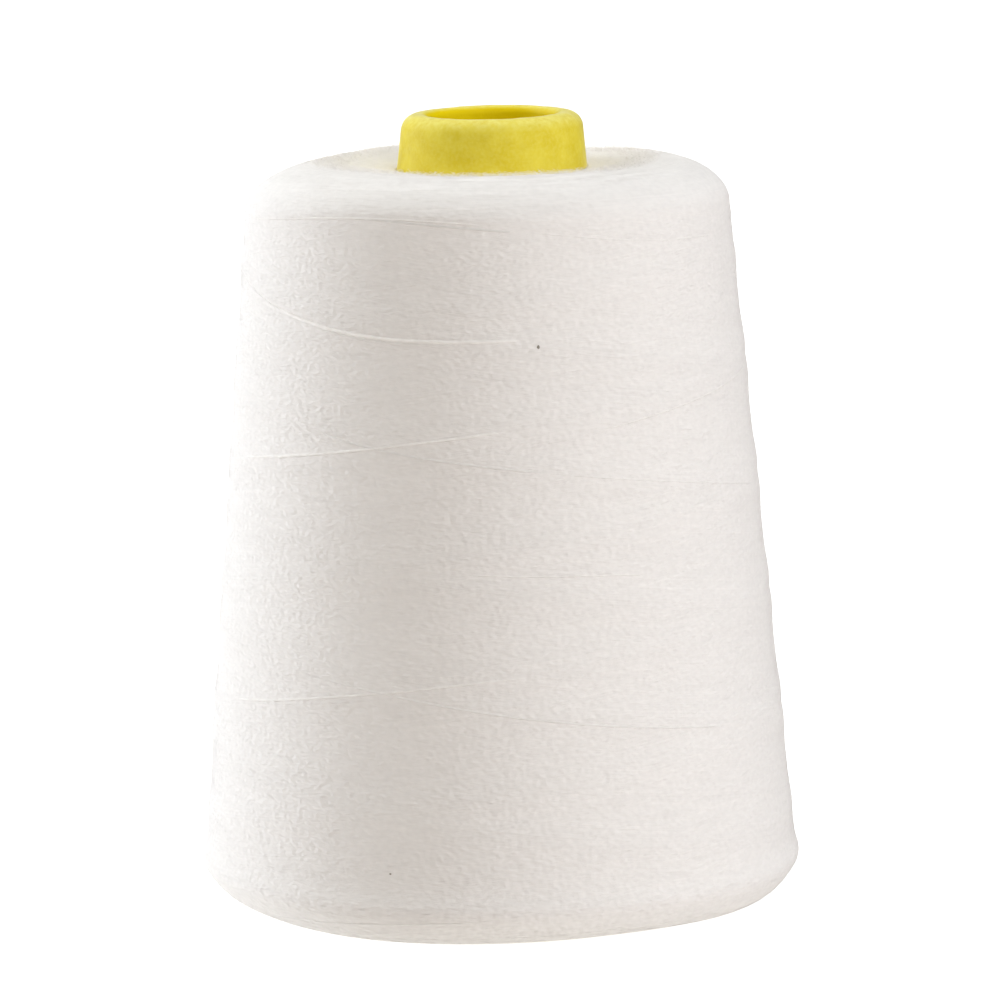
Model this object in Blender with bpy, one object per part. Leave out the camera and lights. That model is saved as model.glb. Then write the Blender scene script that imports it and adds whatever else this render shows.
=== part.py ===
"""A cone of thread: thread cross-wound on a tapered moulded cone tube.

Metres, +Z up. The origin is on the tube's axis, on the surface that its base ring stands on.
The front of the winding, where its crossings are placed from, faces -Y.
"""

import math

import bmesh
import bpy

# Cone tube: a tapered wall, open at both ends, with a thick rounded nose
TUBE_LENGTH = 0.170
TUBE_TAPER = math.radians(5.95)
NOSE_RADIUS = 0.0185  # the wall's outer line, carried up to the top of the nose
WALL_THICKNESS = 0.0023
MOUTH_RADIUS = 0.0133
MOUTH_LENGTH = 0.010  # straight bore through the nose
NECK_LENGTH = 0.008  # slope from that bore out to the wall
NOSE_ROUND = 0.0035
MOUTH_ROUND = 0.0017
BASE_ROUND = 0.0005

# Wound thread: the package that the turns make round the tube
SEAT_GAP = 0.0003  # between the innermost turns and the tube
FOOT_HEIGHT = 0.0042
FOOT_ROUND = 0.009
FOOT_HOLLOW = 0.0015  # how far the lower end dips up towards the tube
SIDE_RADIUS_LOW = 0.0629  # where the lower edge's round meets the side
SIDE_RADIUS_HIGH = 0.0508  # where the side meets the shoulder
SHOULDER_HEIGHT = 0.1506
CREST_RADIUS = 0.0353
CREST_HEIGHT = 0.1602
VALLEY_DEPTH = 0.0036  # from the crest down to the turns against the tube
WINDING_LEAN = 0.0066  # sideways drift of the package's centre, towards -X, for each metre up
LEAN_BLEND = 0.010  # the drift fades out over this distance from the tube

# Main twists: the raised bands where turns of both hands pile up on each other
TURN_PITCH = 0.0495  # rise in one turn of the winding
BANDS_PER_TURN = 2
BAND_RISE = 0.00035
BAND_SHARPNESS = 4
BAND_FADE = 0.012  # the bands fade out over this height at each end of the side
CROSSING_ANGLE = math.radians(-90 - 25)  # 25 degrees to the left of the front
CROSSING_HEIGHT = 0.106

# Fineness of the meshes
SEGMENTS = 60
SIDE_ROWS = 36
SHOULDER_ROWS = 7
VALLEY_ROWS = 4
FOOT_ROUND_ROWS = 5
FOOT_ROWS = 3
RIM_ROWS = 5

TUBE_YELLOW = (0.72, 0.56, 0.05, 1.0)
THREAD_WHITE = (0.86, 0.84, 0.80, 1.0)


def clear_scene():
    for thing in list(bpy.data.objects):
        bpy.data.objects.remove(thing, do_unlink=True)


def finish(name, colour, roughness):
    """A plain non-metal finish."""
    material = bpy.data.materials.new(name)
    material.use_nodes = True
    shader = material.node_tree.nodes["Principled BSDF"]
    shader.inputs["Base Color"].default_value = colour
    shader.inputs["Roughness"].default_value = roughness
    shader.inputs["Metallic"].default_value = 0.0
    return material


def arc(centre, radii, start, end, steps):
    """Points (radius, height) along an elliptical arc, both ends included, by angles in degrees."""
    points = []
    for step in range(steps + 1):
        angle = math.radians(start + (end - start) * step / steps)
        points.append((centre[0] + radii[0] * math.cos(angle), centre[1] + radii[1] * math.sin(angle)))
    return points


def tube_radius(height):
    """Outer radius of the cone tube's wall."""
    return NOSE_RADIUS + (TUBE_LENGTH - height) * math.tan(TUBE_TAPER)


def tube_outline():
    """Closed outline of the tube's wall: up the outside, over the nose, and down the inside."""
    reach = NOSE_ROUND * (1 - math.sin(TUBE_TAPER)) / math.cos(TUBE_TAPER)
    nose = arc(
        (NOSE_RADIUS - reach, TUBE_LENGTH - NOSE_ROUND),
        (NOSE_ROUND, NOSE_ROUND),
        math.degrees(TUBE_TAPER),
        90,
        RIM_ROWS,
    )
    mouth = arc(
        (MOUTH_RADIUS + MOUTH_ROUND, TUBE_LENGTH - MOUTH_ROUND),
        (MOUTH_ROUND, MOUTH_ROUND),
        90,
        180,
        RIM_ROWS,
    )
    neck_top = TUBE_LENGTH - MOUTH_LENGTH
    neck_foot = neck_top - NECK_LENGTH
    outline = [(tube_radius(0) - BASE_ROUND, 0), (tube_radius(BASE_ROUND), BASE_ROUND)]
    outline += nose + mouth
    outline.append((MOUTH_RADIUS, neck_top))
    outline.append((tube_radius(neck_foot) - WALL_THICKNESS, neck_foot))
    outline.append((tube_radius(BASE_ROUND) - WALL_THICKNESS, BASE_ROUND))
    outline.append((tube_radius(0) - WALL_THICKNESS + BASE_ROUND, 0))
    return outline


def side_radius(height):
    """Radius of the package's straight side, from its lower edge to its shoulder."""
    start = FOOT_HEIGHT + FOOT_ROUND
    share = (height - start) / (SHOULDER_HEIGHT - start)
    return SIDE_RADIUS_LOW + (SIDE_RADIUS_HIGH - SIDE_RADIUS_LOW) * share


def package_outline():
    """Closed outline of the wound package: lower end, lower edge, side, shoulder, valley and bore."""
    foot_inner = tube_radius(FOOT_HEIGHT + FOOT_HOLLOW) + SEAT_GAP
    foot_outer = SIDE_RADIUS_LOW - FOOT_ROUND
    outline = []
    for row in range(FOOT_ROWS):
        share = row / FOOT_ROWS
        height = FOOT_HEIGHT + FOOT_HOLLOW * math.cos(share * math.pi / 2) ** 2
        outline.append((foot_inner + (foot_outer - foot_inner) * share, height))
    outline += arc((foot_outer, FOOT_HEIGHT + FOOT_ROUND), (FOOT_ROUND, FOOT_ROUND), -90, 0, FOOT_ROUND_ROWS)
    for row in range(1, SIDE_ROWS):
        height = FOOT_HEIGHT + FOOT_ROUND
        height += (SHOULDER_HEIGHT - height) * row / SIDE_ROWS
        outline.append((side_radius(height), height))
    shoulder = (SIDE_RADIUS_HIGH - CREST_RADIUS, CREST_HEIGHT - SHOULDER_HEIGHT)
    outline += arc((CREST_RADIUS, SHOULDER_HEIGHT), shoulder, 0, 90, SHOULDER_ROWS)
    valley_inner = tube_radius(CREST_HEIGHT - VALLEY_DEPTH) + SEAT_GAP
    for row in range(1, VALLEY_ROWS + 1):
        share = row / VALLEY_ROWS
        height = CREST_HEIGHT - VALLEY_DEPTH * math.sin(share * math.pi / 2) ** 2
        outline.append((CREST_RADIUS + (valley_inner - CREST_RADIUS) * share, height))
    return outline


def turned(name, outline, material):
    """An object turned from a closed outline about the Z axis."""
    mesh = bpy.data.meshes.new(name)
    shape = bmesh.new()
    corners = [shape.verts.new((radius, 0, height)) for radius, height in outline]
    edges = [shape.edges.new((corners[i - 1], corners[i])) for i in range(len(corners))]
    bmesh.ops.spin(
        shape,
        geom=corners + edges,
        cent=(0, 0, 0),
        axis=(0, 0, 1),
        angle=math.tau,
        steps=SEGMENTS,
        use_merge=True,
    )
    bmesh.ops.recalc_face_normals(shape, faces=shape.faces)
    shape.to_mesh(mesh)
    shape.free()
    mesh.shade_smooth()
    mesh.set_sharp_from_angle(angle=math.radians(35))
    mesh.materials.append(material)
    thing = bpy.data.objects.new(name, mesh)
    bpy.context.collection.objects.link(thing)
    return thing


def band_rise(angle, height):
    """How far the crossing bands of thread stand out of the side, at an angle about the axis."""
    turn = (angle - CROSSING_ANGLE) / math.tau
    rise = 0.0
    for hand in (1, -1):
        place = (height - CROSSING_HEIGHT) / TURN_PITCH - hand * turn
        wave = 0.5 + 0.5 * math.cos(math.tau * BANDS_PER_TURN * place)
        rise = max(rise, wave**BAND_SHARPNESS)
    above_foot = height - FOOT_HEIGHT - FOOT_ROUND
    below_shoulder = SHOULDER_HEIGHT - height
    fade = min(above_foot, below_shoulder, BAND_FADE) / BAND_FADE
    return BAND_RISE * rise * max(fade, 0.0)


def shape_winding(package):
    """Raises the main twists on the turned package, and lets it drift off the tube's axis."""
    for vertex in package.data.vertices:
        x, y, height = vertex.co
        radius = math.hypot(x, y)
        stand_off = radius - tube_radius(height) - SEAT_GAP
        if stand_off > LEAN_BLEND:
            scale = 1 + band_rise(math.atan2(y, x), height) / radius
            x *= scale
            y *= scale
        x -= WINDING_LEAN * height * min(max(stand_off, 0.0) / LEAN_BLEND, 1.0)
        vertex.co = (x, y, height)
    package.data.update()


def cone_tube():
    return turned("cone_tube", tube_outline(), finish("cone_tube_plastic", TUBE_YELLOW, 0.55))


def wound_thread():
    package = turned("wound_thread", package_outline(), finish("spun_thread", THREAD_WHITE, 0.9))
    shape_winding(package)
    return package


clear_scene()
cone_tube()
wound_thread()
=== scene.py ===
"""A cone of spun sewing thread, cross-wound on a yellow moulded cone tube.

Metres, +Z up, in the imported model's frame: the tube's axis is Z, its base ring stands at height 0,
and the front of the package faces -Y. An azimuth is in degrees from the front, positive to the right.
"""

import math

import bmesh
import bpy
import numpy as np
from mathutils import Matrix, Vector, noise


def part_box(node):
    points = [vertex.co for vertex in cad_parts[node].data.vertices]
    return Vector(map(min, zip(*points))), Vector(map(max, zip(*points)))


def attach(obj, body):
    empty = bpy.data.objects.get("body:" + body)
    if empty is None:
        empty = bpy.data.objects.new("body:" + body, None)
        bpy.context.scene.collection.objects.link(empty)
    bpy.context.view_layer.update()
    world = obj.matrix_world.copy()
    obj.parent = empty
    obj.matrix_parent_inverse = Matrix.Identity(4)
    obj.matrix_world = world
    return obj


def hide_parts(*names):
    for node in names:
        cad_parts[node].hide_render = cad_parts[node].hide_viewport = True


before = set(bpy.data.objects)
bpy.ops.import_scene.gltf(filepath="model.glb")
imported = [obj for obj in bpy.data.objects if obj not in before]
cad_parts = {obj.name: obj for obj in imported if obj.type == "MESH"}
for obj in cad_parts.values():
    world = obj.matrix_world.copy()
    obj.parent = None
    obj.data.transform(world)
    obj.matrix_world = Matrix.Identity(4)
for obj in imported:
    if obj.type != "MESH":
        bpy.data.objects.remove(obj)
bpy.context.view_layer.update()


# ---- Camera ------------------------------------------------------------------------------------
# The package is seen from the front and a little from above, through a long lens, and turned by
# less than a degree in the picture, as in the photograph.

CAMERA_TARGET = Vector((0.00087, 0.0, 0.08767))
CAMERA_DISTANCE = 1.2
CAMERA_ELEVATION = math.radians(8.444)
CAMERA_ROLL = math.radians(-0.828)
PICTURE_SPAN = 0.212  # width of what the picture takes in, at the target
SENSOR_WIDTH = 36.0  # millimetres, as Blender gives lenses

camera_data = bpy.data.cameras.new("camera")
camera_data.sensor_fit = "HORIZONTAL"
camera_data.sensor_width = SENSOR_WIDTH
camera_data.lens = SENSOR_WIDTH * CAMERA_DISTANCE / PICTURE_SPAN
camera = bpy.data.objects.new("camera", camera_data)
camera_way = Vector((0, -math.cos(CAMERA_ELEVATION), math.sin(CAMERA_ELEVATION)))
camera.matrix_world = (
    Matrix.Translation(CAMERA_TARGET + camera_way * CAMERA_DISTANCE)
    @ Matrix.Rotation(math.pi / 2 - CAMERA_ELEVATION, 4, "X")
    @ Matrix.Rotation(CAMERA_ROLL, 4, "Z")
)
bpy.context.collection.objects.link(camera)
bpy.context.scene.camera = camera


# ---- Studio ------------------------------------------------------------------------------------
# A white background and floor, light from below as a white floor throws it up, and six soft lamps:
# two on the left and a little behind, one in front, one on the right, and two high ones.

FLOOR_SIDE = 30.0
FLOOR_GLOW = 0.92  # the floor's own light, so that only the contact shadow shows on it
FLOOR_WHITE = (0.3, 0.3, 0.3, 1.0)
GLOW_WHITE = (1.0, 1.0, 1.0, 1.0)
BACKGROUND_WHITE = (1.3, 1.3, 1.3, 1.0)
SURROUNDINGS = (
    # height of a direction, from -1 straight down to 1 straight up, and the light from there
    (-1.0, (1.03, 1.125, 1.10, 1.0)),
    (-0.5, (0.985, 0.845, 0.755, 1.0)),
    (-0.1, (0.0, 0.0, 0.0, 1.0)),
)
LAMPS = (
    # name, azimuth, elevation, spread in degrees, strength, colour
    ("upper_left_lamp", -109, 29, 40, 1.85, (0.95, 0.985, 1.0)),
    ("low_left_lamp", -113, -10, 40, 2.12, (0.82, 0.90, 1.0)),
    ("front_lamp", 5, 30, 40, 1.06, (1.0, 0.97, 0.94)),
    ("high_back_lamp", 180, 60, 60, 1.02, (0.95, 0.95, 1.0)),
    ("high_right_lamp", 60, 60, 60, 1.16, (0.95, 1.0, 0.97)),
    ("right_lamp", 67, 5, 40, 1.265, (0.87, 0.90, 1.0)),
)

bpy.context.scene.view_settings.view_transform = "Standard"


def new_finish(name, roughness):
    """A new finish: its material, its nodes, a function that links two sockets, and its shader."""
    material = bpy.data.materials.new(name)
    material.use_nodes = True
    tree = material.node_tree
    shader = tree.nodes["Principled BSDF"]
    shader.inputs["Roughness"].default_value = roughness
    return material, tree.nodes, tree.links.new, shader


def as_mesh(shape, name):
    """The mesh of a finished bmesh, which is freed."""
    mesh = bpy.data.meshes.new(name)
    shape.to_mesh(mesh)
    shape.free()
    return mesh


def new_object(name, mesh, material):
    """An object at the origin, in one finish."""
    mesh.materials.append(material)
    thing = bpy.data.objects.new(name, mesh)
    bpy.context.collection.objects.link(thing)
    return thing


world = bpy.data.worlds.new("studio")
world.use_nodes = True
world_nodes = world.node_tree.nodes
world_link = world.node_tree.links.new
ambient = world_nodes["Background"]
direction = world_nodes.new("ShaderNodeTexCoord")
direction_parts = world_nodes.new("ShaderNodeSeparateXYZ")
upwards = world_nodes.new("ShaderNodeMapRange")
upwards.inputs["From Min"].default_value = -1
surroundings = world_nodes.new("ShaderNodeValToRGB")
stops = surroundings.color_ramp.elements
while len(stops) < len(SURROUNDINGS):
    stops.new(1.0)
for stop, (height, light) in zip(stops, SURROUNDINGS):
    stop.position = (height + 1) / 2
    stop.color = light
world_link(direction.outputs["Generated"], direction_parts.inputs["Vector"])
world_link(direction_parts.outputs["Z"], upwards.inputs["Value"])
world_link(upwards.outputs["Result"], surroundings.inputs["Fac"])
world_link(surroundings.outputs["Color"], ambient.inputs["Color"])
backdrop = world_nodes.new("ShaderNodeBackground")
backdrop.inputs["Color"].default_value = BACKGROUND_WHITE
seen = world_nodes.new("ShaderNodeLightPath")
either = world_nodes.new("ShaderNodeMixShader")
world_link(seen.outputs["Is Camera Ray"], either.inputs["Fac"])
world_link(ambient.outputs["Background"], either.inputs[1])
world_link(backdrop.outputs["Background"], either.inputs[2])
world_link(either.outputs["Shader"], world_nodes["World Output"].inputs["Surface"])
bpy.context.scene.world = world

for name, azimuth, elevation, spread, strength, colour in LAMPS:
    lamp_data = bpy.data.lights.new(name, "SUN")
    lamp_data.energy = strength
    lamp_data.angle = math.radians(spread)
    lamp_data.color = colour
    lamp = bpy.data.objects.new(name, lamp_data)
    lamp.matrix_world = (
        Matrix.Rotation(math.radians(azimuth), 4, "Z")
        @ Matrix.Rotation(math.radians(90 - elevation), 4, "X")
    )
    bpy.context.collection.objects.link(lamp)

floor_shape = bmesh.new()
bmesh.ops.create_grid(floor_shape, x_segments=1, y_segments=1, size=FLOOR_SIDE / 2)
floor_paint, _, _, floor_shader = new_finish("floor_paint", 1.0)
floor_shader.inputs["Base Color"].default_value = FLOOR_WHITE
floor_shader.inputs["Specular IOR Level"].default_value = 0.0
floor_shader.inputs["Emission Color"].default_value = GLOW_WHITE
floor_shader.inputs["Emission Strength"].default_value = FLOOR_GLOW
floor = new_object("floor", as_mesh(floor_shape, "floor"), floor_paint)
floor.visible_diffuse = False  # the floor's light doesn't reach the package
floor.visible_glossy = False
floor.visible_shadow = False


# ---- Cone tube ---------------------------------------------------------------------------------
# One piece of yellow plastic, moulded hollow and tapered, open at both ends, with a thick rounded
# nose. Its skin is matt and a little mottled, and the nose is slightly uneven.

TUBE_TAPER = math.radians(5.95)
WALL_THICKNESS = 0.0023
MOUTH_RADIUS = 0.0133
MOUTH_LENGTH = 0.010  # straight bore through the nose
NECK_LENGTH = 0.008  # slope from that bore out to the wall
NOSE_ROUND = 0.0035
MOUTH_ROUND = 0.0017
BASE_ROUND = 0.0005
TUBE_SEGMENTS = 144
WALL_ROWS = 40
RIM_ROWS = 10
MOUTH_ROWS = 6
NECK_ROWS = 5
UNEVENNESS = 0.00012
UNEVENNESS_SIZE = 0.006
FINER_LUMPS = 2.7  # smaller lumps on those: how many to one of them
FINER_SHARE = 0.5  # their height, as a share of the larger ones'
SKIN = 0.0003  # how far the moulding's skin stands out of the plain tube
NOSE_SLANT = (0.008, 0.018)  # the nose's top rises to the right and to the back by these shares
NOSE_SHIFT = 0.0002  # how far the nose lies to the right of the tube's axis
SLANT_START = 0.154
SLANT_BLEND = 0.008
RIM_HIGHLIGHT_DEPTHS = (0.0028, 0.0010)  # distances below the nose's top where the painted highlight starts and where it is full
BORE_SHADE_EDGE = (0.0012, 0.0003)  # distances out from the bore where its painted shade, a deeper yellow, starts and is full

YELLOW_DEEP = (0.71, 0.55, 0.027, 1.0)
YELLOW_LIGHT = (0.82, 0.68, 0.07, 1.0)
YELLOW_BLOOM = (0.86, 0.77, 0.18, 1.0)
YELLOW_RIM_HIGHLIGHT = (0.88, 0.80, 0.22, 1.0)  # a pale painted highlight along the top of the nose, broken into patches by noise
# painted shade in the bore: a deeper, more saturated yellow on its inside
YELLOW_BORE_SHADE = (0.82, 0.63, 0.0, 1.0)
YELLOW_SHEEN = (1.0, 0.97, 0.7, 1.0)
YELLOW_GLOW = (1.0, 0.7, 0.1)  # how far red, green and blue light go into it, as shares of the depth
GLOW_DEPTH = 0.003

tube_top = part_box("cone_tube")[1]


def tube_radius(height):
    """Outer radius of the cone tube's wall."""
    return tube_top.x + SKIN + (BASE_ROUND - height) * math.tan(TUBE_TAPER)


def arc(centre, radii, start, end, steps):
    """Radius and height along an elliptical arc, both ends included, by angles in degrees."""
    angle = np.radians(np.linspace(start, end, steps + 1))
    return np.column_stack((centre[0] + radii[0] * np.cos(angle), centre[1] + radii[1] * np.sin(angle)))


def run_between(first, last, steps):
    """Radius and height along a straight stretch, without its last point."""
    return np.linspace(first, last, steps, endpoint=False)


def turned(name, outline, segments):
    """A closed outline turned about the Z axis, as a mesh with its faces outwards."""
    shape = bmesh.new()
    corners = [shape.verts.new((radius, 0, height)) for radius, height in outline]
    edges = [shape.edges.new((corners[i - 1], corners[i])) for i in range(len(corners))]
    bmesh.ops.spin(
        shape,
        geom=corners + edges,
        cent=(0, 0, 0),
        axis=(0, 0, 1),
        angle=math.tau,
        steps=segments,
        use_merge=True,
    )
    bmesh.ops.recalc_face_normals(shape, faces=shape.faces)
    mesh = as_mesh(shape, name)
    mesh.shade_smooth()
    return mesh


def grain(nodes, link, scale, detail=3.0, stretch=(1, 1, 1)):
    """Noise on the piece's own coordinates. scale is its lumps to a metre."""
    place = nodes.new("ShaderNodeTexCoord")
    mapping = nodes.new("ShaderNodeMapping")
    mapping.inputs["Scale"].default_value = stretch
    texture = nodes.new("ShaderNodeTexNoise")
    texture.inputs["Scale"].default_value = scale
    texture.inputs["Detail"].default_value = detail
    link(place.outputs["Object"], mapping.inputs["Vector"])
    link(mapping.outputs["Vector"], texture.inputs["Vector"])
    return texture.outputs["Fac"]


def spread_of(nodes, link, value, between, to):
    """A value that goes from to's first to its second as the given one does so in between, then holds."""
    node = nodes.new("ShaderNodeMapRange")
    node.inputs["From Min"].default_value, node.inputs["From Max"].default_value = between
    node.inputs["To Min"].default_value, node.inputs["To Max"].default_value = to
    link(value, node.inputs["Value"])
    return node.outputs["Result"]


def blended(nodes, link, share, first, second):
    """Two colours mixed. Each is a colour or a socket."""
    node = nodes.new("ShaderNodeMix")
    node.data_type = "RGBA"
    link(share, node.inputs["Factor"])
    for socket, colour in ((node.inputs[6], first), (node.inputs[7], second)):
        if isinstance(colour, tuple):
            socket.default_value = colour
        else:
            link(colour, socket)
    return node.outputs[2]


def bumped(nodes, link, height, strength, depth, under=None):
    """A surface raised by a height map, on top of another bump."""
    node = nodes.new("ShaderNodeBump")
    node.inputs["Strength"].default_value = strength
    node.inputs["Distance"].default_value = depth
    link(height, node.inputs["Height"])
    if under:
        link(under, node.inputs["Normal"])
    return node.outputs["Normal"]


def combined(nodes, link, operation, first, second):
    """Two values put together by a sum or a product."""
    node = nodes.new("ShaderNodeMath")
    node.operation = operation
    link(first, node.inputs[0])
    link(second, node.inputs[1])
    return node.outputs["Value"]


def height_above_base(nodes, link):
    """Height on the piece's own coordinates."""
    place = nodes.new("ShaderNodeTexCoord")
    parts = nodes.new("ShaderNodeSeparateXYZ")
    link(place.outputs["Object"], parts.inputs["Vector"])
    return parts.outputs["Z"]


def distance_from_axis(nodes, link):
    """Distance from the Z axis on the piece's own coordinates."""
    place = nodes.new("ShaderNodeTexCoord")
    across = nodes.new("ShaderNodeVectorMath")
    across.operation = "MULTIPLY"
    across.inputs[1].default_value = (1, 1, 0)
    link(place.outputs["Object"], across.inputs[0])
    length = nodes.new("ShaderNodeVectorMath")
    length.operation = "LENGTH"
    link(across.outputs["Vector"], length.inputs[0])
    return length.outputs["Value"]


def moulded_plastic():
    """Matt yellow plastic, clouded, with a pale bloom, pits and soft waves, a painted highlight on the rim
    and painted shade in the bore.
    """
    material, nodes, link, shader = new_finish("yellow_moulding", 0.55)
    clouds = spread_of(nodes, link, grain(nodes, link, 240, 5), between=(0.3, 0.7), to=(0.1, 0.9))
    colour = blended(nodes, link, clouds, YELLOW_DEEP, YELLOW_LIGHT)
    bloom = spread_of(nodes, link, grain(nodes, link, 1500, 2), between=(0.4, 0.75), to=(0, 0.25))
    colour = blended(nodes, link, bloom, colour, YELLOW_BLOOM)
    # painted highlight: a paler yellow along the nose's top, in noisy patches
    rim_heights = [tube_top.z - depth for depth in RIM_HIGHLIGHT_DEPTHS]
    rim = spread_of(nodes, link, height_above_base(nodes, link), between=rim_heights, to=(0, 1))
    highlight_patches = spread_of(nodes, link, grain(nodes, link, 900, 3), between=(0.35, 0.65), to=(0.25, 0.75))
    colour = blended(nodes, link, combined(nodes, link, "MULTIPLY", rim, highlight_patches), colour, YELLOW_RIM_HIGHLIGHT)
    # painted shade: the bore's inside takes the deeper yellow
    bore_radii = [MOUTH_RADIUS + distance for distance in BORE_SHADE_EDGE]
    bore_shade = spread_of(nodes, link, distance_from_axis(nodes, link), between=bore_radii, to=(0, 1))
    colour = blended(nodes, link, bore_shade, colour, YELLOW_BORE_SHADE)
    link(colour, shader.inputs["Base Color"])
    rubbed = spread_of(nodes, link, grain(nodes, link, 450, 3), between=(0.3, 0.7), to=(0.46, 0.66))
    link(rubbed, shader.inputs["Roughness"])
    pits = bumped(nodes, link, grain(nodes, link, 1700, 2), strength=0.6, depth=0.00008)
    waves = bumped(nodes, link, grain(nodes, link, 520, 2), strength=0.5, depth=0.00012, under=pits)
    link(waves, shader.inputs["Normal"])
    shader.inputs["Specular IOR Level"].default_value = 0.1
    shader.inputs["Sheen Weight"].default_value = 0.75
    shader.inputs["Sheen Roughness"].default_value = 0.2
    shader.inputs["Sheen Tint"].default_value = YELLOW_SHEEN
    shader.inputs["Subsurface Weight"].default_value = 0.04
    shader.inputs["Subsurface Radius"].default_value = YELLOW_GLOW
    shader.inputs["Subsurface Scale"].default_value = GLOW_DEPTH
    return material


nose_reach = NOSE_ROUND * (1 - math.sin(TUBE_TAPER)) / math.cos(TUBE_TAPER)
nose_arc = arc(
    (tube_radius(tube_top.z) - nose_reach, tube_top.z - NOSE_ROUND),
    (NOSE_ROUND, NOSE_ROUND),
    math.degrees(TUBE_TAPER),
    90,
    RIM_ROWS,
)
mouth_arc = arc(
    (MOUTH_RADIUS + MOUTH_ROUND, tube_top.z - MOUTH_ROUND), (MOUTH_ROUND, MOUTH_ROUND), 90, 180, RIM_ROWS
)
neck_top = (MOUTH_RADIUS, tube_top.z - MOUTH_LENGTH)
neck_foot_height = neck_top[1] - NECK_LENGTH
neck_foot = (tube_radius(neck_foot_height) - WALL_THICKNESS, neck_foot_height)
bore_foot = (tube_radius(BASE_ROUND) - WALL_THICKNESS, BASE_ROUND)
tube_outline = np.vstack(
    (
        [(tube_radius(0) - BASE_ROUND, 0)],
        run_between((tube_radius(BASE_ROUND), BASE_ROUND), nose_arc[0], WALL_ROWS),
        nose_arc,
        mouth_arc,
        run_between(mouth_arc[-1], neck_top, MOUTH_ROWS)[1:],
        run_between(neck_top, neck_foot, NECK_ROWS),
        run_between(neck_foot, bore_foot, WALL_ROWS // 2),
        [bore_foot, (tube_radius(0) - WALL_THICKNESS + BASE_ROUND, 0)],
    )
)
tube_mesh = turned("cone_tube_moulding", tube_outline, TUBE_SEGMENTS)
for vertex in tube_mesh.vertices:
    lump = noise.noise(vertex.co / UNEVENNESS_SIZE)
    lump += FINER_SHARE * noise.noise(vertex.co / UNEVENNESS_SIZE * FINER_LUMPS)
    if vertex.co.z > WALL_THICKNESS:
        vertex.co += vertex.normal * lump * UNEVENNESS
    share = min(max((vertex.co.z - SLANT_START) / SLANT_BLEND, 0), 1)
    slant = NOSE_SLANT[0] * vertex.co.x + NOSE_SLANT[1] * vertex.co.y
    vertex.co += share * Vector((NOSE_SHIFT, 0, slant))
tube = new_object("cone_tube_moulding", tube_mesh, moulded_plastic())
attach(tube, "root")
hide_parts("cone_tube")


# ---- Body of the package -----------------------------------------------------------------------
# The mass of wound thread under the outermost turns: tapered, with a rounded lower edge, a round
# shoulder, and a valley round the tube's nose. Main bands cross on its side, where turns pile up.

MILLIMETRE = 0.001
SEAT_GAP = 0.00015  # between the innermost turns and the tube
FOOT_ROUND = 0.009
FOOT_HOLLOW = 0.0015  # how far the lower end dips up towards the tube
SIDE_RADIUS_LOW = 0.0628  # where the lower edge's round meets the side
SIDE_RADIUS_HIGH = 0.0507  # where the side meets the shoulder
SHOULDER_HEIGHT = 0.1506
CREST_RADIUS = 0.0353
VALLEY_DEPTH = 0.0016  # from the crest down to the turns against the tube
WINDING_LEAN = 0.0066  # sideways drift of the package's centre, towards -X, for each metre up
LEAN_BLEND = 0.010  # the drift fades out over this distance from the tube
TURN_PITCH = 0.0495  # rise in one turn of the winding
BANDS_PER_TURN = 2
BAND_RISE = 0.00035
BAND_SHARPNESS = 4
BAND_FADE = 0.012
CROSSING_AZIMUTH = -25
CROSSING_HEIGHT = 0.106
EDGE_FILL = 0.0008  # how far the lower edge stands out of an even round
EDGE_FILL_HEIGHT = 0.0120
EDGE_FILL_SPREAD = 0.0028
LEDGE_HEIGHT = 0.1491  # mean height of the ledge where the shoulder's turns end on the side
LEDGE_RISE = 0.00018
LEDGE_DEPTH = 0.0010
LEDGE_BLEND = 0.008  # the rise fades out over this height below the crest
LEDGE_WAVES = (
    # waves to a turn, size in metres, turn in degrees
    (1, 0.00157, 75),
    (2, 0.00145, 58),
    (3, 0.00078, 41),
)
SETTLED = (
    # azimuth, and how far the crest, the shoulder and the lower edge lie above their even height there,
    # in millimetres
    (-150, 0.80, -0.30, 0.00),
    (-126, -0.40, -1.10, 0.00),
    (-104, -0.42, -1.10, 0.10),
    (-78, -0.25, -0.50, 0.30),
    (-58, -0.20, -0.20, 0.45),
    (-40, -0.32, 0.00, -0.40),
    (-20, -0.62, 0.00, -0.35),
    (0, -0.60, 0.00, 0.00),
    (20, -0.55, 0.00, 0.45),
    (32, -0.58, 0.10, 0.60),
    (46, -0.60, 0.20, 0.10),
    (62, -0.45, 0.25, -0.35),
    (104, 0.20, 0.30, 0.20),
    (126, 0.40, 0.47, 0.10),
    (150, -1.05, 0.20, 0.00),
)
SETTLED_SPREAD = (-12, -6, 0, 6, 12)  # each place's height is shared out over these degrees
CREST_SPREAD = (0.0385, 0.0445)  # the crest's height gives way to the shoulder's between these radii
TOP_SETTLES = 0.004  # the top's settling comes in from this far below the shoulder to as far above it
FOOT_SETTLES = (0.0117, 0.0027)  # heights over the lower end where its settling starts and is full
BODY_DEPTH = 0.00006  # how deep the body lies under the tops of the outermost turns
BODY_SEGMENTS = 144
BODY_ROWS = 150
END_STEPS = 24  # of the outline over the lower end, and over the valley
EDGE_STEPS = 24
SHOULDER_STEPS = 48
OUTLINE_POINTS = 1200

THREAD_WHITE = (0.87, 0.835, 0.80)
SMOOTHER_BAND = (0.1466, 0.1556)  # over these heights the thread's lumps fade to the share below
SMOOTHER_SHARE = 0.5

foot_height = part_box("wound_thread")[0].z
crest_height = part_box("wound_thread")[1].z


def angle_of(azimuth):
    """Angle about the Z axis of an azimuth, which is in degrees from the front."""
    return np.radians(np.asarray(azimuth) - 90)


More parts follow.
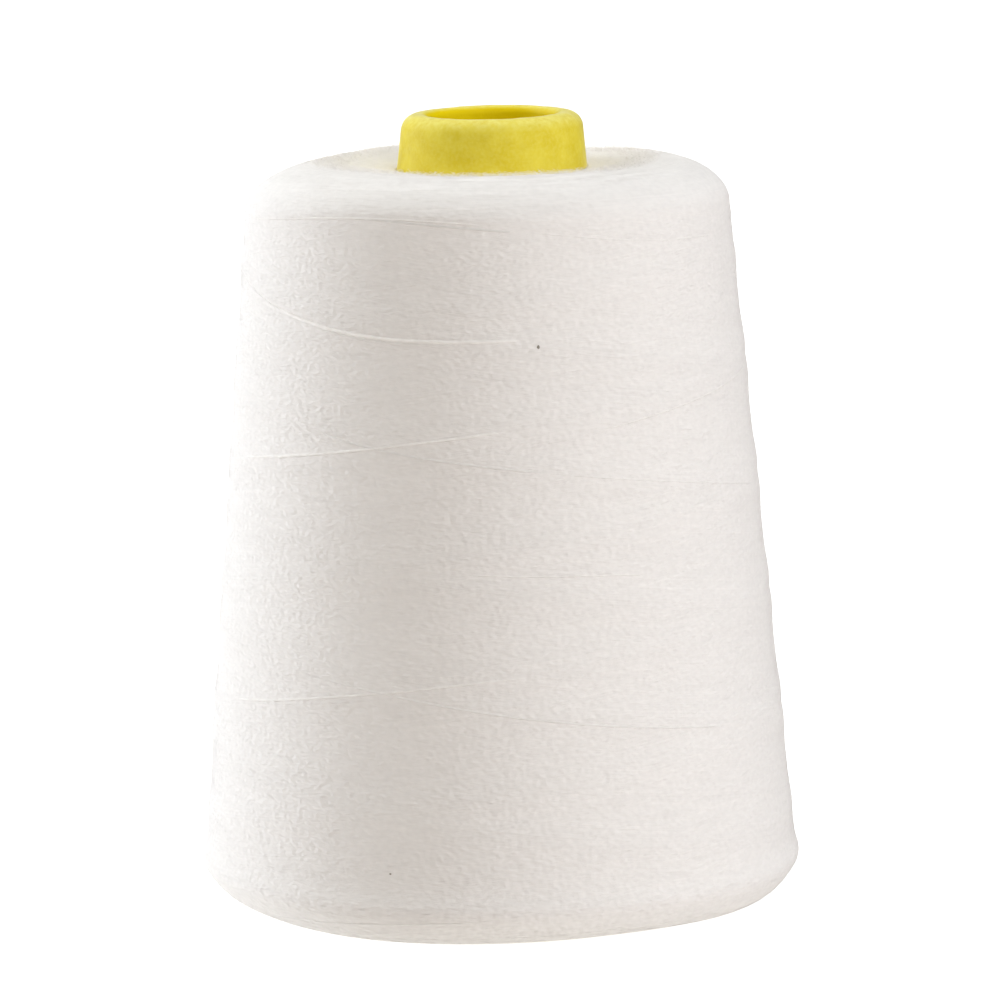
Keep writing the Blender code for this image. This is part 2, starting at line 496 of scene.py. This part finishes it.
def package_outline():
    """Radius and height along the package's surface, from the tube at its foot to the tube at its top."""
    share = np.linspace(0, 1, END_STEPS + 1)
    foot_inner = tube_radius(foot_height + FOOT_HOLLOW) + SEAT_GAP
    foot_outer = SIDE_RADIUS_LOW - FOOT_ROUND
    foot = np.column_stack(
        (
            foot_inner + (foot_outer - foot_inner) * share,
            foot_height + FOOT_HOLLOW * np.cos(share * math.pi / 2) ** 2,
        )
    )
    edge = arc((foot_outer, foot_height + FOOT_ROUND), (FOOT_ROUND, FOOT_ROUND), -90, 0, EDGE_STEPS)
    shoulder_size = (SIDE_RADIUS_HIGH - CREST_RADIUS, crest_height - SHOULDER_HEIGHT)
    shoulder = arc((CREST_RADIUS, SHOULDER_HEIGHT), shoulder_size, 0, 90, SHOULDER_STEPS)
    valley_inner = tube_radius(crest_height - VALLEY_DEPTH) + SEAT_GAP
    valley = np.column_stack(
        (
            CREST_RADIUS + (valley_inner - CREST_RADIUS) * share,
            crest_height - VALLEY_DEPTH * np.sin(share * math.pi / 2) ** 2,
        )
    )
    return np.vstack((foot[:-1], edge, shoulder, valley[1:]))


def lengths_along(line):
    """Distance along a line to each of its points."""
    return np.concatenate(([0], np.cumsum(np.hypot(*np.diff(line, axis=0).T))))


outline_corners = package_outline()
outline_run = np.linspace(0, lengths_along(outline_corners)[-1], OUTLINE_POINTS)
outline_radius = np.interp(outline_run, lengths_along(outline_corners), outline_corners[:, 0])
outline_height = np.interp(outline_run, lengths_along(outline_corners), outline_corners[:, 1])
outline_end = outline_run[-1]
outward = np.column_stack((np.gradient(outline_height), -np.gradient(outline_radius)))
outward /= np.hypot(*outward.T)[:, None]


def run_to(height):
    """Distance along the outline to a height on the lower edge, side or shoulder."""
    outside = np.argmin(outline_height) + np.arange(np.argmax(outline_height) - np.argmin(outline_height))
    return np.interp(height, outline_height[outside], outline_run[outside])


def eased(value, start, end):
    """Share of the way from one value to another, gentle at both ends and held past them."""
    share = np.clip((value - start) / (end - start), 0, 1)
    return share * share * (3 - 2 * share)


def side_rise(angle, height):
    """How far the crossing bands of thread, and the full lower edge, stand out of the even outline."""
    turn = (angle - angle_of(CROSSING_AZIMUTH)) / math.tau
    rise = 0
    for hand in (1, -1):
        place = (height - CROSSING_HEIGHT) / TURN_PITCH - hand * turn
        wave = 0.5 + 0.5 * np.cos(math.tau * BANDS_PER_TURN * place)
        rise = np.maximum(rise, wave**BAND_SHARPNESS)
    room = np.minimum(height - foot_height - FOOT_ROUND, SHOULDER_HEIGHT - height)
    fill = EDGE_FILL * np.exp(-(((height - EDGE_FILL_HEIGHT) / EDGE_FILL_SPREAD) ** 2))
    return BAND_RISE * rise * np.clip(room / BAND_FADE, 0, 1) + fill


def ledge_rise(angle, height):
    """How far the shoulder's turns stand out over a ledge that wavers round the package."""
    azimuth = angle - angle_of(0)
    ledge = LEDGE_HEIGHT
    for waves, size, turn in LEDGE_WAVES:
        ledge = ledge + size * np.cos(waves * azimuth + math.radians(turn))
    fade = np.clip((crest_height - height) / LEDGE_BLEND, 0, 1)
    return LEDGE_RISE * eased(height, ledge, ledge + LEDGE_DEPTH) * fade


def settled_by(angle, radius, height):
    """How far the winding's two ends lie above their even height, as they settled unevenly."""
    table = np.array(SETTLED).T
    azimuth = np.degrees(angle) + 90
    crest, shoulder, foot = (
        np.mean([np.interp(azimuth + step, table[0], heights, period=360) for step in SETTLED_SPREAD], axis=0)
        for heights in table[1:]
    )
    outer = np.clip((radius - CREST_SPREAD[0]) / (CREST_SPREAD[1] - CREST_SPREAD[0]), 0, 1)
    top = eased(height, SHOULDER_HEIGHT - TOP_SETTLES, SHOULDER_HEIGHT + TOP_SETTLES)
    low = eased(height, *(foot_height + above for above in FOOT_SETTLES))
    return (top * (crest + (shoulder - crest) * outer) + low * foot) * MILLIMETRE


def wound(angle, radius, height):
    """Points of the even winding, moved to where its bands, its lean and its settling take them."""
    inwards = np.clip((radius - tube_radius(height) - SEAT_GAP) / LEAN_BLEND, 0, 1)
    wide = radius + (side_rise(angle, height) + ledge_rise(angle, height)) * inwards
    lean = WINDING_LEAN * height * inwards
    level = height + settled_by(angle, radius, height)
    return np.column_stack((wide * np.cos(angle) - lean, wide * np.sin(angle), level))


def on_package(angle, run, lift):
    """Points lifted off the package, at an angle about its axis and a distance along its outline."""
    radius = np.interp(run, outline_run, outline_radius) + lift * np.interp(run, outline_run, outward[:, 0])
    height = np.interp(run, outline_run, outline_height) + lift * np.interp(run, outline_run, outward[:, 1])
    return wound(angle, radius, height)


def spun_thread(name, plied):
    """Spun polyester thread: matt, warm white, with fine hairs. A plied one shows its own twist."""
    material, nodes, link, shader = new_finish(name, 0.92)
    streaks = grain(nodes, link, 130, 2, stretch=(1, 1, 8))
    streaks = spread_of(nodes, link, streaks, between=(0.3, 0.7), to=(0.985, 1.01))
    fibres = grain(nodes, link, 760, 0, stretch=(1, 1, 1.3))
    fibres = spread_of(nodes, link, fibres, between=(0.3, 0.7), to=(0.982, 1.01))
    tone = combined(nodes, link, "MULTIPLY", streaks, fibres)
    even = height_above_base(nodes, link)
    even = spread_of(nodes, link, even, between=SMOOTHER_BAND, to=(1, SMOOTHER_SHARE))
    lumps = combined(nodes, link, "MULTIPLY", grain(nodes, link, 800, 0, stretch=(1, 1, 1.5)), even)
    normal = bumped(nodes, link, grain(nodes, link, 3800, 2), strength=0.3, depth=0.00003)
    normal = bumped(nodes, link, lumps, strength=1.0, depth=0.0002, under=normal)
    if plied:
        lay = nodes.new("ShaderNodeAttribute")
        lay.attribute_name = "lay"
        parts = nodes.new("ShaderNodeSeparateXYZ")
        link(lay.outputs["Vector"], parts.inputs["Vector"])
        # each thread's tone from its lay attribute: a random spread, with painted shadow and painted
        # highlight on some single turns
        tone = combined(nodes, link, "MULTIPLY", parts.outputs["Z"], tone)
        wave = nodes.new("ShaderNodeMath")
        wave.operation = "SINE"
        link(combined(nodes, link, "ADD", parts.outputs["X"], parts.outputs["Y"]), wave.inputs[0])
        normal = bumped(nodes, link, wave.outputs["Value"], strength=0.3, depth=0.00002, under=normal)
    colour = nodes.new("ShaderNodeVectorMath")
    colour.operation = "SCALE"
    colour.inputs["Vector"].default_value = THREAD_WHITE
    link(tone, colour.inputs["Scale"])
    link(colour.outputs["Vector"], shader.inputs["Base Color"])
    link(normal, shader.inputs["Normal"])
    shader.inputs["Specular IOR Level"].default_value = 0.2
    return material


body_runs = np.linspace(0, outline_end, BODY_ROWS)
body_outline = np.column_stack(
    (
        np.interp(body_runs, outline_run, outline_radius - BODY_DEPTH * outward[:, 0]),
        np.interp(body_runs, outline_run, outline_height - BODY_DEPTH * outward[:, 1]),
    )
)
body_outline[[0, -1], 0] = tube_radius(body_outline[[0, -1], 1]) + SEAT_GAP
body_mesh = turned("package_body", body_outline, BODY_SEGMENTS)
corners = np.empty(len(body_mesh.vertices) * 3)
body_mesh.vertices.foreach_get("co", corners)
x, y, height = corners.reshape(-1, 3).T
body_mesh.vertices.foreach_set("co", wound(np.arctan2(y, x), np.hypot(x, y), height).ravel())
body_mesh.update()
body = new_object("package_body", body_mesh, spun_thread("thread_mass", plied=False))
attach(body, "root")
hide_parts("wound_thread")


# ---- Outermost turns on the side ---------------------------------------------------------------
# Spun sewing thread of two plies, just under 0.4 mm wide as it lies, and laid by the winder's
# traverse in crossing turns of a gentle slope: one set rises to the right, and the other falls.

THREAD_RADIUS = 0.00019
THREAD_FLATNESS = 0.12  # height to width of what stands out, as a thread lies half sunk in the others
THREAD_SIDES = 3
PLY_LAY = 0.0013  # length of one twist of the plies
PLIES = 2
STOCK_SPACING = 4.0  # between threads on the stock, in thread radii
TURNS_LAID = 130  # threads side by side in each set
STEPS_PER_TURN = 70
TURNS_FOOT = 0.0075  # heights between which the turns are laid
TURNS_TOP = 0.1555
WANDER = 0.00012  # how far a thread strays from its even course
TURN_WAVES = (1.3, 2.9, 6.1, 12.7)  # how many times it does so over its length, in waves of four sizes
LIFT_SPREAD = 0.000012
WEAVE_LIFT = 0.00004  # how far the upper set lies over the lower one
WEAVE_PATCH = 0.012  # size of the patches where one set or the other is the upper one
WEAVE_WAVES = 24  # waves that make up the patches
WEAVE_CONTRAST = 1.6
WEAVE_SEED = 5
UNDERSIDE_ANGLE = math.radians(100)  # only the hidden edges of a thread's underside are this sharp
TUCK_DEPTH = 0.0010  # how far a thread's ends go down between the others
TURN_TUCK = 0.02  # share of a turn's length over which each end goes down
SHADE_SPREAD = 0.008


def thread_stock(name, count, steps, sides):
    """Straight threads of unit radius side by side along Y, each from 0 to 1 along X, as one object."""
    shape = bmesh.new()
    bmesh.ops.create_cone(shape, cap_ends=True, segments=sides, radius1=1, radius2=1, depth=1)
    lying = Matrix.Rotation(math.pi / 2, 3, "X") @ Matrix.Rotation(math.pi / 2, 3, "Y")
    bmesh.ops.rotate(shape, verts=shape.verts, cent=(0, 0, 0), matrix=lying)
    bmesh.ops.translate(shape, verts=shape.verts, vec=(0.5, 0, 0))
    long_edges = [edge for edge in shape.edges if abs(edge.verts[0].co.x - edge.verts[1].co.x) > 0.5]
    bmesh.ops.subdivide_edges(shape, edges=long_edges, cuts=steps - 1)
    one_thread = as_mesh(shape, name)
    stock = bpy.data.objects.new(name, one_thread)
    bpy.context.collection.objects.link(stock)
    rows = stock.modifiers.new("rows", "ARRAY")
    rows.count = count
    rows.use_relative_offset = False
    rows.use_constant_offset = True
    rows.constant_offset_displace = (0, STOCK_SPACING, 0)
    seen_now = stock.evaluated_get(bpy.context.evaluated_depsgraph_get())
    whole = bpy.data.meshes.new_from_object(seen_now)
    stock.modifiers.clear()
    stock.data = whole
    bpy.data.meshes.remove(one_thread)
    return stock


def stock_places(stock):
    """For each vertex of the stock: its thread's number, its share along it, and its place across and up."""
    places = np.empty(len(stock.data.vertices) * 3)
    stock.data.vertices.foreach_get("co", places)
    along, side, up = places.reshape(-1, 3).T
    number = np.rint(side / STOCK_SPACING).astype(int)
    return number, along, side - number * STOCK_SPACING, up


def finish_threads(stock, points, along, around, shade, material):
    """Moves the stock's vertices to their places, and notes how the plies run and each thread's shade."""
    mesh = stock.data
    mesh.vertices.foreach_set("co", points.astype(np.float32).ravel())
    mesh.update()
    mesh.shade_smooth()
    mesh.set_sharp_from_angle(angle=UNDERSIDE_ANGLE)
    lay = mesh.attributes.new("lay", "FLOAT_VECTOR", "POINT")
    twist = math.tau * PLIES / PLY_LAY * along
    lay.data.foreach_set("vector", np.column_stack((twist, PLIES * around, shade)).astype(np.float32).ravel())
    mesh.materials.clear()
    mesh.materials.append(material)
    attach(stock, "root")


def slow_waves(chance, count, number, along, size, waves):
    """An uneven wave along each thread, different for each, of about the given size."""
    total = np.zeros(len(along))
    for rate in waves:
        phase = chance.uniform(0, math.tau, count)
        total += np.cos(math.tau * rate * along + phase[number]) / math.sqrt(rate)
    return size * total


def patches(chance, angle, run, size):
    """A smooth uneven field over the package, from 0 to 1, with patches of about the given size."""
    total = np.zeros(len(angle))
    for _ in range(WEAVE_WAVES):
        rounds = chance.integers(1, int(math.tau * SIDE_RADIUS_LOW / size))
        rise = chance.normal(0, math.tau / size)
        total += np.cos(rounds * angle + rise * run + chance.uniform(0, math.tau))
    return 0.5 + 0.5 * np.tanh(total / math.sqrt(WEAVE_WAVES) * WEAVE_CONTRAST)


def tucked(along, length):
    """How far down a thread goes near its two ends, over a given share of its length."""
    return TUCK_DEPTH * np.clip(1 - np.minimum(along, 1 - along) / length, 0, 1) ** 2


def lay_turns(name, rising, seed, material):
    """One set of crossing turns over the package's side."""
    low, high = run_to(TURNS_FOOT), run_to(TURNS_TOP)
    rounds = (high - low) / TURN_PITCH
    stock = thread_stock(name, TURNS_LAID, round(rounds * STEPS_PER_TURN), THREAD_SIDES)
    number, along, across, up = stock_places(stock)
    chance = np.random.default_rng(seed)
    angle = math.tau * (number / TURNS_LAID + rounds * along)
    run = low + (high - low) * (along if rising else 1 - along)
    run += slow_waves(chance, TURNS_LAID, number, along, WANDER, TURN_WAVES)
    over = patches(np.random.default_rng(WEAVE_SEED), angle, run, WEAVE_PATCH)
    lift = (up - 1) * THREAD_RADIUS * THREAD_FLATNESS + WEAVE_LIFT * (over if rising else 1 - over)
    lift += chance.normal(0, LIFT_SPREAD, TURNS_LAID)[number]
    lift += slow_waves(chance, TURNS_LAID, number, along, LIFT_SPREAD, TURN_WAVES)
    points = on_package(angle, run + across * THREAD_RADIUS, lift - tucked(along, TURN_TUCK))
    shade = 1 + chance.normal(0, SHADE_SPREAD, TURNS_LAID)[number]
    length = rounds * math.tau * SIDE_RADIUS_LOW
    finish_threads(stock, points, along * length, np.arctan2(across, up), shade, material)


thread_finish = spun_thread("spun_thread", plied=True)
lay_turns("rising_turns", True, 11, thread_finish)
lay_turns("falling_turns", False, 12, thread_finish)


# ---- Turns where the winding reverses ----------------------------------------------------------
# At each end of the traverse the thread swings round and goes back. These arcs make the shoulder
# and the valley at the top, and the lower edge and the end face at the foot.

REVERSAL_SLOPE = 0.14  # rise along the thread where an arc leaves the side's turns
REVERSAL_SPAN = math.radians(170)  # how far round the package an arc goes
REVERSAL_STEPS = 34
REVERSAL_WANDER = 0.000072
REVERSAL_WAVES = (0.7, 1.6, 3.4)
REVERSAL_LIFTS = (-0.000004, 0.000006)  # how far the lowest and the highest arcs lie off the even surface
REVERSAL_LIFT_SPREAD = 0.000004
REVERSAL_TUCK = 0.12  # share of an arc's length over which each end goes down
SHOULDER_TURNS = 560
FOOT_TURNS = 460


def lay_reversals(name, count, first_run, last_run, side, seed, material):
    """Arcs whose peaks lie between two places along the outline. side is +1 at the top, -1 at the foot."""
    stock = thread_stock(name, count, REVERSAL_STEPS, THREAD_SIDES)
    number, along, across, up = stock_places(stock)
    chance = np.random.default_rng(seed)
    peak = first_run + (last_run - first_run) * (np.arange(count) + chance.uniform(0, 1, count)) / count
    chance.shuffle(peak)
    middle = chance.uniform(0, math.tau, count)
    peak_radius = np.interp(peak, outline_run, outline_radius)
    swing = (along - 0.5) * REVERSAL_SPAN
    drop = REVERSAL_SLOPE * peak_radius[number] * swing**2 / REVERSAL_SPAN
    run = peak[number] - side * drop
    run += slow_waves(chance, count, number, along, REVERSAL_WANDER, REVERSAL_WAVES)
    lift = (up - 1) * THREAD_RADIUS * THREAD_FLATNESS + chance.uniform(*REVERSAL_LIFTS, count)[number]
    lift += slow_waves(chance, count, number, along, REVERSAL_LIFT_SPREAD, REVERSAL_WAVES)
    points = on_package(
        middle[number] + swing, run + across * THREAD_RADIUS, lift - tucked(along, REVERSAL_TUCK)
    )
    shade = 1 + chance.normal(0, SHADE_SPREAD, count)[number]
    length = REVERSAL_SPAN * SIDE_RADIUS_HIGH
    finish_threads(stock, points, along * length, np.arctan2(across, up), shade, material)


shoulder_start = run_to(SHOULDER_HEIGHT)
foot_start = run_to(foot_height + FOOT_ROUND)
lay_reversals(
    "shoulder_turns", SHOULDER_TURNS, shoulder_start, outline_end - THREAD_RADIUS, 1, 21, thread_finish
)
lay_reversals("foot_turns", FOOT_TURNS, foot_start, THREAD_RADIUS, -1, 22, thread_finish)


# ---- Single turns that show --------------------------------------------------------------------
# A few turns lie loosely over the others, or lie low where they pulled in, with a painted shadow along
# them as a darker tone: one thread by itself or two or three together, held by the turns that cross
# them further round. The loose turns get a lighter tone too, a painted highlight on top of the light
# that their raised tops catch.

SINGLE_SIDES = 8
SINGLE_STEP = 0.0002
SINGLE_FLATNESS = 0.6
SINGLE_TUCK = 2.5  # how far its ends go down between the others, in its own radii
PLY_RELIEF = 0.07  # how far the plies stand out of the thread's round, as a share of its radius
SETTLE = 0.15  # share of its length over which a turn comes up from between the others
COURSE_DEGREE = 4  # of the smooth curve through a turn's places
SINGLE_TURNS = (
    # name, radius, lift of its middle at its left and at its right end, shade (below 1 a painted shadow,
    # above 1 a painted highlight), azimuths, heights, with all lengths in millimetres
    ("left_low_turn", 0.26, -0.08, -0.08, 0.95,
     (-84, -71, -61, -50, -44), (139.2, 136.0, 133.7, 131.6, 130.6)),
    ("upper_loose_turn", 0.40, 0.02, -0.10, 1.07,
     (-60, -55, -48, -35, -27, -18, -9, 2, 8, 13),
     (133.6, 132.6, 131.3, 129.2, 128.35, 128.05, 127.85, 127.85, 128.0, 128.1)),
    ("upper_low_turn", 0.34, -0.10, -0.12, 0.92,
     (-46, -40, -35, -27, -18, -9, -3), (130.2, 129.3, 128.6, 127.75, 127.4, 127.2, 127.2)),
    ("middle_loose_turn", 0.34, -0.05, -0.09, 1.04,
     (-75, -61, -41, -22, -9, 2, 10), (99.9, 101.6, 103.8, 106.7, 108.1, 109.6, 110.5)),
    ("lower_loose_turn", 0.32, -0.09, -0.12, 1.02,
     (-72, -56, -26, 1, 14), (49.6, 51.4, 56.4, 59.3, 60.9)),
    ("inner_loose_turn", 0.15, 0.03, 0.04, 1.03,
     (-8, 0, 10, 26, 34), (81.2, 80.7, 80.3, 79.6, 79.0)),
    ("right_loose_turn", 0.15, 0.03, 0.02, 1.03,
     (20, 40, 57, 75, 84), (108.4, 111.5, 114.1, 116.5, 117.9)),
    ("shoulder_loose_turn", 0.17, 0.06, 0.05, 1.02,
     (-78, -60, -38, -22, -4, 4), (149.9, 150.9, 152.0, 152.3, 151.3, 150.6)),
    ("shoulder_low_turn", 0.30, -0.06, -0.06, 0.84,
     (-38, -30, -23, -12, -4, 4, 10), (152.1, 152.2, 152.0, 151.1, 150.6, 149.9, 149.3)),
    ("right_shoulder_low_turn", 0.16, -0.04, -0.04, 0.98,
     (4, 22, 33, 44, 58, 70), (149.8, 148.2, 147.1, 146.3, 146.0, 145.6)),
    ("middle_low_turn", 0.32, -0.07, -0.08, 0.91,
     (-47, -36, -29, -18, -9, 5, 16), (110.0, 107.8, 106.5, 104.7, 103.7, 101.9, 100.5)),
    ("right_low_turn", 0.16, -0.03, -0.03, 0.97,
     (8, 25, 45, 67, 80), (101.6, 99.4, 96.9, 93.9, 92.2)),
    ("lower_low_turn", 0.26, -0.06, -0.07, 0.94,
     (-44, -26, -13, 0, 6, 26, 45, 60), (59.4, 56.6, 55.0, 52.8, 51.3, 48.8, 46.5, 44.8)),
    ("foot_low_turn", 0.24, -0.05, -0.06, 0.94,
     (-58, -46, -30, -14, 0), (6.6, 7.4, 8.9, 9.9, 10.3)),
)


def lay_single_turn(name, radius, left_lift, right_lift, shade, azimuths, heights, material):
    """One thread laid over the others on a smooth course through listed places."""
    angles = angle_of(azimuths)
    degree = min(COURSE_DEGREE, len(heights) - 2)
    course = np.polynomial.Polynomial.fit(angles, np.array(heights) * MILLIMETRE, degree)
    length = (angles[-1] - angles[0]) * SIDE_RADIUS_LOW
    stock = thread_stock(name, 1, round(length / SINGLE_STEP), SINGLE_SIDES)
    _, along, across, up = stock_places(stock)
    around = np.arctan2(across, up)
    angle = angles[0] + (angles[-1] - angles[0]) * along
    lobes = 1 + PLY_RELIEF * np.cos(PLIES * (around + math.tau * along * length / PLY_LAY / PLIES))
    run = run_to(course(angle)) + np.sin(around) * lobes * radius * MILLIMETRE
    risen = np.clip(np.minimum(along, 1 - along) / SETTLE, 0, 1)
    lift = left_lift + (right_lift - left_lift) * along - SINGLE_TUCK * radius * (1 - risen) ** 2
    lift += np.cos(around) * lobes * radius * SINGLE_FLATNESS
    points = on_package(angle, run, lift * MILLIMETRE)
    # painted shadow and painted highlight: the turn's shade, full on its outer face and fading to its sides
    # and ends
    painted_shade_and_highlight = 1 + (shade - 1) * risen * np.cos(around) ** 2
    finish_threads(stock, points, along * 0, around * 0, painted_shade_and_highlight, material)


for turn in SINGLE_TURNS:
    lay_single_turn(*turn, thread_finish)


# ---- Loose fibres ------------------------------------------------------------------------------
# Spun thread sheds short ends of fibre. They stand off the turns as a faint down, and show best on
# the crest, against the tube.

FIBRE_STEPS = 3
FIBRE_LENGTHS = (0.4, 1.6)  # the shortest and the longest, as shares of their usual length
FIBRE_CURL = 1.0  # spread of how far they turn sideways over their length, in radians
FIBRE_DROOP = 0.4  # how much less a fibre stands at its tip than at its root, as a share

crest_run = outline_run[np.argmax(outline_height)]
crest_start = crest_run - 0.0012
crest_stop = crest_run + 0.0060
FIBRE_PATCHES = (
    # name, number of fibres, their radius, their usual length, how steeply they stand at least and at
    # most, from this place along the outline, to this place, seed
    ("crest_fibres", 5600, 0.000019, 0.0008, 0.5, 1.6, crest_start, crest_stop, 31),
    ("valley_fibres", 500, 0.000016, 0.0008, 0.1, 0.9, crest_stop, outline_end - 0.0010, 33),
    ("side_fibres", 1200, 0.000012, 0.0009, 0.1, 0.9, run_to(0.006), crest_start, 32),
)


def lay_fibres(
    name, count, fibre, usual_length, least_stand, most_stand, first_run, last_run, seed, material
):
    """Short curved fibres that leave the package's surface in all directions."""
    stock = thread_stock(name, count, FIBRE_STEPS, THREAD_SIDES)
    number, along, across, up = stock_places(stock)
    chance = np.random.default_rng(seed)
    angle = chance.uniform(0, math.tau, count)
    run = chance.uniform(first_run, last_run, count)
    way = chance.uniform(0, math.tau, count)
    length = usual_length * chance.uniform(*FIBRE_LENGTHS, count)
    stand = chance.uniform(least_stand, most_stand, count)
    curl = chance.normal(0, FIBRE_CURL, count)
    turned_way = way[number] + curl[number] * along
    reach = length[number] * along
    radius = np.interp(run, outline_run, outline_radius)[number]
    round_by = reach * np.cos(turned_way) - across * fibre * np.sin(turned_way)
    run_by = reach * np.sin(turned_way) + across * fibre * np.cos(turned_way)
    lift = reach * stand[number] * (1 - FIBRE_DROOP * along) + up * fibre
    points = on_package(angle[number] + round_by / radius, run[number] + run_by, lift)
    finish_threads(stock, points, along * 0, across * 0, np.ones(len(along)), material)


for fibre_patch in FIBRE_PATCHES:
    lay_fibres(*fibre_patch, thread_finish)


# ---- Flecks ------------------------------------------------------------------------------------
# Two tiny brown specks of dust or dark lint. They were wound in with the thread, and the outermost
# turns hold them.

FLECKS = (
    # name, azimuth, height, half width, half height
    ("fleck_upper", 10.6, 0.1266, 0.00036, 0.00040),
    ("fleck_lower", -21.2, 0.0198, 0.00022, 0.00020),
)
FLECK_THICKNESS = 0.00012
FLECK_UNEVENNESS = 0.3
FLECK_LUMPS = 1.7  # over half its width
FLECK_BROWN = (0.20, 0.17, 0.13, 1.0)
FLECK_GREY = (0.36, 0.33, 0.28, 1.0)


def fleck_finish():
    """A dull speck, brown with grey in it."""
    material, nodes, link, shader = new_finish("fleck_brown", 0.85)
    link(blended(nodes, link, grain(nodes, link, 4000), FLECK_BROWN, FLECK_GREY), shader.inputs["Base Color"])
    rough = bumped(nodes, link, grain(nodes, link, 6000), strength=0.5, depth=0.00003)
    link(rough, shader.inputs["Normal"])
    return material


fleck_material = fleck_finish()
for name, azimuth, height, half_width, half_height in FLECKS:
    shape = bmesh.new()
    bmesh.ops.create_icosphere(shape, subdivisions=2, radius=1)
    for vertex in shape.verts:
        lump = noise.noise(vertex.co * FLECK_LUMPS + Vector((azimuth, 0, 0)))
        vertex.co *= 1 + FLECK_UNEVENNESS * lump
    mesh = as_mesh(shape, name)
    for vertex in mesh.vertices:
        across, up, out = vertex.co
        angle = angle_of(azimuth) + across * half_width / SIDE_RADIUS_LOW
        run = run_to(height) + up * half_height
        vertex.co = on_package(np.array([angle]), np.array([run]), np.array([out * FLECK_THICKNESS]))[0]
    mesh.shade_smooth()
    fleck = new_object(name, mesh, fleck_material)
    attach(fleck, "root")
